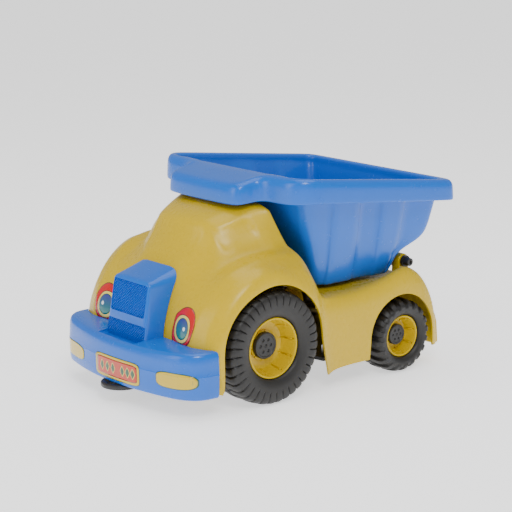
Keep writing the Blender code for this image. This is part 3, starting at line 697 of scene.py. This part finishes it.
def make_stickers(nose, bumper):
    for hand, side in (("left", 1), ("right", -1)):
        tag = f"headlight_{hand}"
        y = 73.0 * side
        decal(f"{tag}_edge", eyelid(side, 0.0), nose, 0.30, INK_MAROON, f"headlight_sticker_{hand}")
        decal(f"{tag}_lid", eyelid(side, -0.8), nose, 0.36, INK_RED)
        decal(f"{tag}_ring_edge", blob(y, 91.4, 15.2, 15.6, 2.3), nose, 0.42, INK_MAROON)
        decal(f"{tag}_ring", blob(y, 91.4, 14.4, 14.8, 2.3), nose, 0.48, INK_CREAM)
        decal(f"{tag}_iris_edge", blob(y + 0.5 * side, 91.8, 11.8, 11.8), nose, 0.54, INK_GREEN)
        decal(f"{tag}_iris", blob(y + 0.5 * side, 91.8, 11.0, 11.0), nose, 0.60, INK_IRIS)
        decal(f"{tag}_glint", blob(78.0 * side, 92.6, 2.2, 2.2), nose, 0.66, INK_WHITE)
        tag = f"bumper_light_{hand}"
        middle, half, height = (99.0, 23.5, 44.5) if side > 0 else (-87.0, 29.0, 42.0)
        decal(f"{tag}_edge", blob(middle, height, half, 9.2, 3.4), bumper, 0.20, INK_GREEN,
              f"bumper_light_sticker_{hand}")
        decal(f"{tag}_lens", blob(middle, height, half - 0.9, 8.3, 3.4), bumper, 0.26, INK_YELLOW)
    decal("plate_edge", blob(11, 41, 40.5, 13.4, 8.0), bumper, 0.20, INK_GREEN, "number_plate_sticker")
    decal("plate_border", blob(11, 41, 39.8, 12.7, 8.0), bumper, 0.26, INK_YELLOW)
    decal("plate_line", blob(11, 41, 36.6, 10.0, 10.0), bumper, 0.32, INK_MAROON)
    decal("plate_field", blob(11, 41, 36.0, 9.4, 10.0), bumper, 0.38, INK_ORANGE)
    for i, y in enumerate((-15.0, -4.5, 6.0, 23.0, 32.0, 40.5)):
        decal(f"plate_mark_{i}_edge", blob(y, 41, 3.9, 6.4, 1.25), bumper, 0.44, INK_CREAM)
        decal(f"plate_mark_{i}", blob(y, 41, 3.0, 5.2, 1.25), bumper, 0.50, INK_GREEN)


# ---------------------------------------------------------------- tub
TUB_HALF_WIDTH = 131.0
TUB_FRONT = 70.0
CANOPY_FRONT = 107.0
CANOPY_HALF_WIDTH = 64.0
PANEL_STEP = 3.0


def rim_top(x):
    return 241.5 + 0.108 * x if x < 60 else 248.0 - 0.23 * (x - 60)


def rim_foot(x):
    return 217.5 + 0.0957 * x if x < 50 else 222.3 - 0.09 * (x - 50)


def panel_edges(low_part):
    top = (-104.0, -66.0, -33.0, 9.0)
    bottom = (-113.0, -82.0, -49.0, -8.0)
    return [t + (b - t) * low_part for t, b in zip(top, bottom)]


def tub_ring(rear, front, width, heights, low_part, corner, step=PANEL_STEP):
    """Half of one ring of the tub's inside, from the middle of the rear to the middle of the front."""
    points = [(rear, 0), (rear, width * 0.35), (rear, width * 0.7), (rear, width - corner)]
    points += [(rear + corner * (1 - cos(a)), width - corner * (1 - sin(a))) for a in (pi / 6, pi / 3)]
    points.append((rear + corner, width))
    for i, edge in enumerate(panel_edges(low_part)):
        before, after = (0.0, step) if i % 2 == 0 else (step, 0.0)
        edge = min(max(edge, rear + corner + 2), front - corner - 2)
        points.append((edge - 1.3, width + before - step))
        points.append((edge + 1.3, width + after - step))
    side = width - step
    points.append((front - corner, side))
    points += [(front - corner * (1 - cos(a)), side - corner * (1 - sin(a))) for a in (pi / 3, pi / 6)]
    points.append((front, side - corner))
    for share in (0.84, 0.74, 0.65, 0.58, 0.52, 0.47, 0.41, 0.24, 0.0):
        points.append((front, side * share))
    low, high = heights
    return [(x, y, low + (high - low) * (x - rear) / (front - rear)) for x, y in points]


def rim_ring(inset, height):
    """Half of one ring on the rim, whose front runs out into the canopy over the cab."""
    half = TUB_HALF_WIDTH - inset
    rear = TUB_REAR + inset
    canopy = CANOPY_HALF_WIDTH - inset
    front = TUB_FRONT - inset
    tip = CANOPY_FRONT - inset
    corner = 14 - inset * 0.5
    outline = [(rear, 0), (rear, half * 0.35), (rear, half * 0.7), (rear, half - corner)]
    outline += [(rear + corner * (1 - cos(a)), half - corner * (1 - sin(a))) for a in (pi / 6, pi / 3)]
    outline.append((rear + corner, half))
    for edge in panel_edges(0.0):
        outline.append((edge - 1.3, half))
        outline.append((edge + 1.3, half))
    outline += [(34, half), (48, half - 1.0), (60 - inset * 0.3, half - 7), (front - 1.5, half - 19)]
    outline += [(front, half - 33), (front + 0.3, canopy + 22), (front + 2.6, canopy + 9)]
    outline += [(front + 9, canopy + 1.8), (front + 18, canopy + 0.2), (tip - 8, canopy - 0.5)]
    outline += [(tip - 1.5, canopy - 5), (tip, canopy * 0.5), (tip + 0.8, 0)]
    return [(x, y, height(x)) for x, y in outline]


def mouth_ring(depth):
    """The rim's inner edge, straight across the front where the canopy begins."""
    ring = tub_ring(TUB_REAR + 9.5, 61.0, TUB_HALF_WIDTH - 9.5, (0, 0), 0.0, 14.0, 0.0)
    return [(x, y, rim_top(x) - depth) for x, y, z in ring]


def make_tub():
    """One sheet: floor, inner walls, rim top and outer lip, thickened outward, with its hinge lugs."""
    rings = [
        tub_ring(-98, -10, 70, (112, 112), 1.0, 5.0, 0.6),
        tub_ring(-104, -2, 81, (112, 112), 1.0, 6.0),
        tub_ring(-110, 2, 86, (114, 114), 0.97, 7.0),
        tub_ring(-115, 9, 90, (124, 124), 0.9, 8.0),
        tub_ring(-117, 16, 95, (137, 138), 0.78, 9.0),
        tub_ring(-131, 21, 98, (145, 150), 0.7, 10.0),
        tub_ring(-150, 26, 101, (152, 161), 0.6, 11.0),
        tub_ring(-158, 34, 106, (162, 178), 0.45, 12.0),
        tub_ring(-160, 45, 113, (186, 205), 0.2, 13.0),
        tub_ring(-162.5, 53, 118.6, (209, 229), 0.04, 13.5),
        mouth_ring(8.0),
        mouth_ring(3.0),
        mouth_ring(0.6),
        rim_ring(7.0, rim_top),
        rim_ring(3.0, lambda x: rim_top(x) - 0.4),
        rim_ring(0.6, lambda x: rim_top(x) - 2.8),
        rim_ring(0.0, lambda x: rim_top(x) - 8.0),
        rim_ring(-0.4, lambda x: rim_foot(x) + 3.0),
        rim_ring(-0.4, rim_foot),
    ]
    bm = bmesh.new()
    verts = grid(bm, [[at(*point) for point in ring] for ring in rings])
    crease = bm.edges.layers.float.new("crease_edge")
    for i in range(1, len(rings) - 1):
        for j in range(7, 15):
            strength = 0.75 if i < 9 else 0.0
            bm.edges.get((verts[i][j], verts[i + 1][j]))[crease] = strength
    for i, strength in ((2, 0.3), (11, 0.3), (12, 0.35), (14, 0.2)):
        for a, b in zip(verts[i], verts[i][1:]):
            bm.edges.get((a, b))[crease] = strength
    middle = [bm.verts.new((v.co.x, 0, v.co.z)) for v in verts[0][1:-1]]
    inner = verts[0]
    loop = [inner[0], *middle, inner[-1]]
    for j in range(len(inner) - 1):
        corners = [inner[j], inner[j + 1], loop[j + 1], loop[j]]
        unique = list(dict.fromkeys(corners))
        if len(unique) > 2 and Vector(unique[0].co - unique[-1].co).length > 1e-7:
            bm.faces.new(unique)
    tub = to_object("tub_sheet", bm)
    mirror(tub)
    solidify(tub, TUB_WALL, 1.0)
    subdivide(tub, 2)
    cutters = []
    for side in (-1, 1):
        low, high = sorted(edge * side for edge in LUG_SIDES)
        rear = arc(HINGE_X, HINGE_Z, LUG_RADIUS, 90, 270, 24)
        outline = [*rear, (-116.6, 120), (-117.5, 136), (-122, 141)]
        lug = extruded(f"lug_{side}", outline, low, high, "XZ")
        cutters.append(lug)
        boolean(tub, lug, "UNION")
    cutters.append(cylinder("tub_pin_bore", (HINGE_X, 0, HINGE_Z), PIN_BORE_RADIUS, 110))
    boolean(tub, cutters[-1])
    tub.name = "tub_moulding"
    tub = baked(tub, BLUE, 38.0)
    remove(*cutters)
    return show(tub, "tub", "blue_plastic", "tipper_tub")


# ---------------------------------------------------------------- wheels
def lathe(name, profile, joint, side, steps, material, relief=None, sharp=40.0, closed=True):
    """A profile of (radius, y) points turned about a wheel's axle; relief(angle, radius, y) moves the
    surface out along the profile's normal, in millimetres."""
    x0, z0 = axle_of(joint)
    count = len(profile)
    normals = []
    for i, (r, y) in enumerate(profile):
        a = profile[(i - 1) % count if closed else max(i - 1, 0)]
        b = profile[(i + 1) % count if closed else min(i + 1, count - 1)]
        length = hypot(b[0] - a[0], b[1] - a[1]) or 1.0
        normals.append((-(b[1] - a[1]) / length, (b[0] - a[0]) / length))
    bm = bmesh.new()
    rows = []
    for s in range(steps):
        angle = 2 * pi * s / steps
        row = []
        for (r, y), (nr, ny) in zip(profile, normals):
            push = relief(angle, r, y) if relief else 0.0
            radius = r + nr * push
            row.append(at(x0 + radius * cos(angle), side * (y + ny * push), z0 + radius * sin(angle)))
        rows.append(row)
    verts = [[bm.verts.new(p) for p in row] for row in rows]
    for s in range(steps):
        near, far = verts[s], verts[(s + 1) % steps]
        for j in range(count if closed else count - 1):
            k = (j + 1) % count
            bm.faces.new((near[j], far[j], far[k], near[k]))
    bmesh.ops.remove_doubles(bm, verts=bm.verts, dist=1e-6)
    return to_object(name, bm, material, sharp)


def refine(points, spacing):
    """The same open line with extra points, so that no step is longer than the spacing."""
    fine = [points[0]]
    for (ar, ay), (br, by) in zip(points, points[1:]):
        count = max(1, int(hypot(br - ar, by - ay) / spacing + 0.5))
        fine += [(ar + (br - ar) * i / count, ay + (by - ay) * i / count) for i in range(1, count + 1)]
    return fine


def rounded_line(points, rounds=2):
    """Corner cutting on an open line."""
    for _ in range(rounds):
        cut = [points[0]]
        for (ar, ay), (br, by) in zip(points, points[1:]):
            cut.append((ar * 0.75 + br * 0.25, ay * 0.75 + by * 0.25))
            cut.append((ar * 0.25 + br * 0.75, ay * 0.25 + by * 0.75))
        cut.append(points[-1])
        points = cut
    return points


def pulse(angle, count, phase, width, soft):
    """1 near each of count evenly spaced angles, 0 between them; width and soft are shares of the pitch."""
    place = (angle / (2 * pi) * count + phase) % 1.0
    distance = min(place, 1 - place)
    return 1 - smooth(width / 2 - soft, width / 2 + soft, distance)


def front_relief(angle, r, y):
    """Narrow cuts across the tread and down the shoulder, staggered from one side to the other."""
    middle = 101.0
    across = (y - middle) / 28.0
    reach = smooth(48.0, 51.5, r) if abs(across) > 0.5 else 1.0
    if r < 46:
        return 0.0
    zigzag = 0.22 * abs(((abs(across) * 3.0) % 2.0) - 1.0)
    phase = (0.0 if across > 0 else 0.5) + zigzag
    cut = pulse(angle, 36, phase, 0.13, 0.045)
    rib = 1 - smooth(0.04, 0.09, abs(across))
    crown = 0.5 * (1 - pulse(angle, 36, phase, 0.7, 0.3)) * smooth(55, 62, r)
    depth = 1.5 + 0.9 * smooth(60, 64, r)
    return reach * (crown - depth * cut) - 1.6 * rib * smooth(62, 64, r)


def rear_relief(angle, r, y):
    """Chunky open lugs, staggered left and right, that run down over the shoulder."""
    middle = 101.0
    across = (y - middle) / 25.0
    phase = (0.0 if across > 0 else 0.5) + 0.35 * abs(across)
    lug = pulse(angle, 20, phase, 0.52, 0.05)
    reach = smooth(33.5, 36.5, r) if abs(across) > 0.4 else 1.0
    overlap = 1.0 if abs(across) > 0.12 else pulse(angle, 20, phase + 0.5, 0.52, 0.05)
    height = 1.6 + 2.0 * smooth(37, 40.4, r)
    return reach * height * max(lug, 0.0) * (1.0 if abs(across) > 0.12 else max(lug, overlap))


RIB_HEIGHT = 2.0
PIT_DEPTH = 1.3

# Sections are (radius, y) pairs. barrel is the stretch of y with ribs, cap is its radius, foot and face.
WHEELS = {
    "front": {
        "tyre": [(35.3, 80.0), (35.3, 119.0), (35.4, 123.2), (37.6, 126.0), (43.0, 128.2), (50.0, 129.0),
                 (57.0, 128.8), (62.0, 126.6), (64.3, 120.5), (65.0, 112.0), (65.0, 101.0), (65.0, 90.0),
                 (64.3, 81.5), (62.0, 75.4), (56.0, 73.2), (45.0, 73.4), (37.0, 77.0), (35.3, 80.0)],
        "relief": front_relief,
        "rim": [(31.6, 80.0), (31.6, 116.5), (34.0, 118.6), (34.9, 121.0), (34.6, 122.9), (33.6, 123.4),
                (32.6, 122.9), (32.1, 121.6), (30.6, 114.0), (28.8, 106.5), (27.2, 103.2), (24.0, 102.0),
                (19.0, 101.6), (17.3, 101.9), (16.9, 104.6), (13.0, 104.8), (4.0, 104.8), (3.1, 104.6),
                (3.1, 70.0), (8.0, 69.4), (11.0, 70.0), (12.0, 98.0), (25.0, 98.4), (28.0, 100.0),
                (28.6, 80.0), (31.6, 80.0)],
        "steps": 396, "barrel": (104.0, 121.0), "ribs": 10, "rib_width": 0.06,
        "cap": (15.4, 105.1, 110.3), "cap_spacing": 0.5, "lip": 32.0,
    },
    "rear": {
        "tyre": [(25.4, 84.0), (25.4, 116.0), (25.5, 119.6), (27.2, 122.6), (31.0, 124.6), (35.0, 124.8),
                 (38.4, 122.0), (40.0, 116.0), (40.5, 108.0), (40.5, 101.0), (40.5, 94.0), (40.0, 86.0),
                 (38.4, 80.0), (34.0, 77.2), (29.0, 77.6), (26.0, 81.0), (25.4, 84.0)],
        "relief": rear_relief,
        "rim": [(21.8, 84.0), (21.8, 113.0), (24.2, 115.4), (25.0, 117.6), (24.8, 119.4), (23.9, 119.9),
                (22.9, 119.4), (22.4, 118.0), (21.2, 112.0), (20.0, 107.0), (18.6, 104.4), (16.6, 103.6),
                (14.4, 103.4), (13.6, 104.0), (13.3, 106.2), (10.0, 106.4), (4.0, 106.4), (3.1, 106.2),
                (3.1, 73.0), (8.0, 72.4), (9.5, 73.0), (10.0, 99.0), (16.0, 99.4), (19.0, 101.0),
                (19.2, 84.0), (21.8, 84.0)],
        "steps": 360, "barrel": (105.0, 118.0), "ribs": 8, "rib_width": 0.065,
        "cap": (12.5, 106.7, 111.6), "cap_spacing": 0.45, "lip": 22.3,
    },
}


def make_wheel(end, hand, side):
    spec = WHEELS[end]
    joint = f"{end}_{hand}_wheel_spin"
    body = f"wheel_{end}_{hand}"
    tyre = refine(rounded_line(spec["tyre"], 2), 1.6)[:-1]
    obj = lathe(f"tyre_moulding_{end}_{hand}", tyre, joint, side, spec["steps"], TYRE, spec["relief"], 30.0)
    show(obj, body, "tyre_black", f"tyre_{end}_{hand}")
    low, high = spec["barrel"]

    def rib(angle, r, y):
        if not low - 2 < y < high or r < 14.5 or r > spec["lip"] + 0.5:
            return 0.0
        inside = smooth(low - 2, low, y) * (1 - smooth(high - 3, high, y))
        return RIB_HEIGHT * inside * pulse(angle, spec["ribs"], 0.25, spec["rib_width"], 0.01)

    rim = refine(spec["rim"], 2.0)[:-1]
    obj = lathe(f"rim_moulding_{end}_{hand}", rim, joint, side, 360, YELLOW, rib, 34.0)
    show(obj, body, "yellow_plastic", f"rim_{end}_{hand}")
    radius, foot, face = spec["cap"]
    spread = radius * 0.48
    pits = [(0.0, 0.0)] + [(spread * cos(pi / 3 * i), spread * sin(pi / 3 * i)) for i in range(6)]

    def pit(angle, r, y):
        if r > radius * 0.75 or y < face - 2:
            return 0.0
        a, b = r * cos(angle), r * sin(angle)
        nearest = min(hypot(a - pa, b - pb) for pa, pb in pits)
        return -PIT_DEPTH * (1 - smooth(radius * 0.085, radius * 0.125, nearest))

    cap = [(0.0, face - 0.9), (radius - 3.2, face - 0.9), (radius - 2.6, face - 0.2), (radius - 1.6, face),
           (radius - 0.6, face - 0.4), (radius, face - 1.4), (radius, foot), (0.0, foot)]
    cap = refine(cap, spec["cap_spacing"])
    obj = lathe(f"hub_cap_moulding_{end}_{hand}", cap, joint, side, 120, BLACK, pit, 34.0, closed=False)
    show(obj, body, "black_plastic", f"hub_cap_{end}_{hand}")


# ---------------------------------------------------------------- hinge, tow hook, floor frame
def make_small_parts():
    pin = cylinder("hinge_pin_rod", (HINGE_X, 0, HINGE_Z), PIN_RADIUS, PIN_HALF_LENGTH, "Y", BLACK)
    bevel(pin, 1.0, 3)
    ends = ((i, (HINGE_X, PIN_HALF_LENGTH * i, HINGE_Z)) for i in (-1, 1))
    dimples = [cylinder(f"pin_dimple_{i}", place, 2.2, 1.6) for i, place in ends]
    for cutter in dimples:
        boolean(pin, cutter)
    pin = baked(pin, BLACK)
    remove(*dimples)
    show(pin, "chassis", "black_plastic", "hinge_pin")

    nose = arc(222, 0, 23, -90, 90, 32)
    near = [(150, -15), (208, -15), (214, -18), (218, -22)]
    outline = near + nose + [(x, -y) for x, y in reversed(near)]
    hook = extruded("tow_tongue", outline, 17.1, 22.6, "XY", BLACK)
    eye = cylinder("tow_eye", (236, 0, 20), 4.0, 12, "Z")
    boolean(hook, eye)
    bevel(hook, 1.4, 4, 30.0)
    hook = baked(hook, BLACK)
    remove(eye)
    show(hook, "chassis", "black_plastic", "tow_hook")
    for name in ("chassis_frame", "hinge_clip_left", "hinge_clip_right"):
        frame["nodes"][name].data.materials[0] = BLACK
    for end in ("front", "rear"):
        frame["nodes"][f"{end}_axle"].data.materials[0] = STEEL
        for hand in ("left", "right"):
            frame["nodes"][f"push_nut_{end}_{hand}"].data.materials[0] = STEEL
            frame["nodes"][f"spacer_{end}_{hand}"].data.materials[0] = BLACK
    for i in range(1, 7):
        frame["nodes"][f"chassis_screw_{i}"].data.materials[0] = STEEL


# ---------------------------------------------------------------- build
skin = body_skin()
nose_surface = surface_of(skin)
clearance = nose_clearance(skin)
front = make_front(clearance)
remove(clearance)
make_body(skin)
make_stickers(nose_surface, surface_of(front))
make_tub()
for end in ("front", "rear"):
    for hand, side in (("left", 1), ("right", -1)):
        make_wheel(end, hand, side)
make_small_parts()

# ---------------------------------------------------------------- floor, light, camera
FLOOR_HALF_SIZE = 6.0
FLOOR_GLOW = 1.0
SKY_STRENGTH = 0.5
AIM = (0.0, 0.0, 0.1)
CAMERA_PLACE = (1.2345, 1.5152, 0.5696)
CAMERA_AIM = (-0.6198, -0.7548, -0.2149)
CAMERA_LENS = 119.5

floor_mesh = bpy.data.meshes.new("floor")
floor_bm = bmesh.new()
bmesh.ops.create_grid(floor_bm, x_segments=1, y_segments=1, size=FLOOR_HALF_SIZE)
floor_bm.to_mesh(floor_mesh)
floor_bm.free()
floor = bpy.data.objects.new("floor", floor_mesh)
floor_material = bpy.data.materials.new("floor_white")
floor_material.use_nodes = True
floor_shader = floor_material.node_tree.nodes["Principled BSDF"]
floor_shader.inputs["Base Color"].default_value = (0.92, 0.92, 0.92, 1.0)
floor_shader.inputs["Emission Color"].default_value = (1.0, 1.0, 1.0, 1.0)
floor_shader.inputs["Emission Strength"].default_value = FLOOR_GLOW
floor_shader.inputs["Roughness"].default_value = 0.6
floor_mesh.materials.append(floor_material)
bpy.context.scene.collection.objects.link(floor)

world = bpy.data.worlds.new("studio")
world.use_nodes = True
world.node_tree.nodes["Background"].inputs["Color"].default_value = (1.0, 1.0, 1.0, 1.0)
world.node_tree.nodes["Background"].inputs["Strength"].default_value = SKY_STRENGTH
bpy.context.scene.world = world


def softbox(name, place, target, width, height, watts):
    data = bpy.data.lights.new(name, "AREA")
    data.shape = "RECTANGLE"
    data.size = width
    data.size_y = height
    data.energy = watts
    lamp = bpy.data.objects.new(name, data)
    lamp.location = place
    lamp.rotation_euler = (Vector(target) - Vector(place)).to_track_quat("-Z", "Y").to_euler()
    bpy.context.scene.collection.objects.link(lamp)


softbox("key", (0.9, 1.6, 1.9), AIM, 0.8, 0.8, 26.0)
softbox("top", (-0.2, 0.1, 2.2), AIM, 1.8, 1.8, 22.0)
softbox("side", (2.2, -0.4, 0.9), AIM, 1.0, 1.4, 12.0)

camera_data = bpy.data.cameras.new("photo_view")
camera_data.sensor_width = 36.0
camera_data.lens = CAMERA_LENS
camera = bpy.data.objects.new("photo_view", camera_data)
camera.location = CAMERA_PLACE
camera.rotation_euler = Vector(CAMERA_AIM).to_track_quat("-Z", "Y").to_euler()
bpy.context.scene.collection.objects.link(camera)
bpy.context.scene.camera = camera
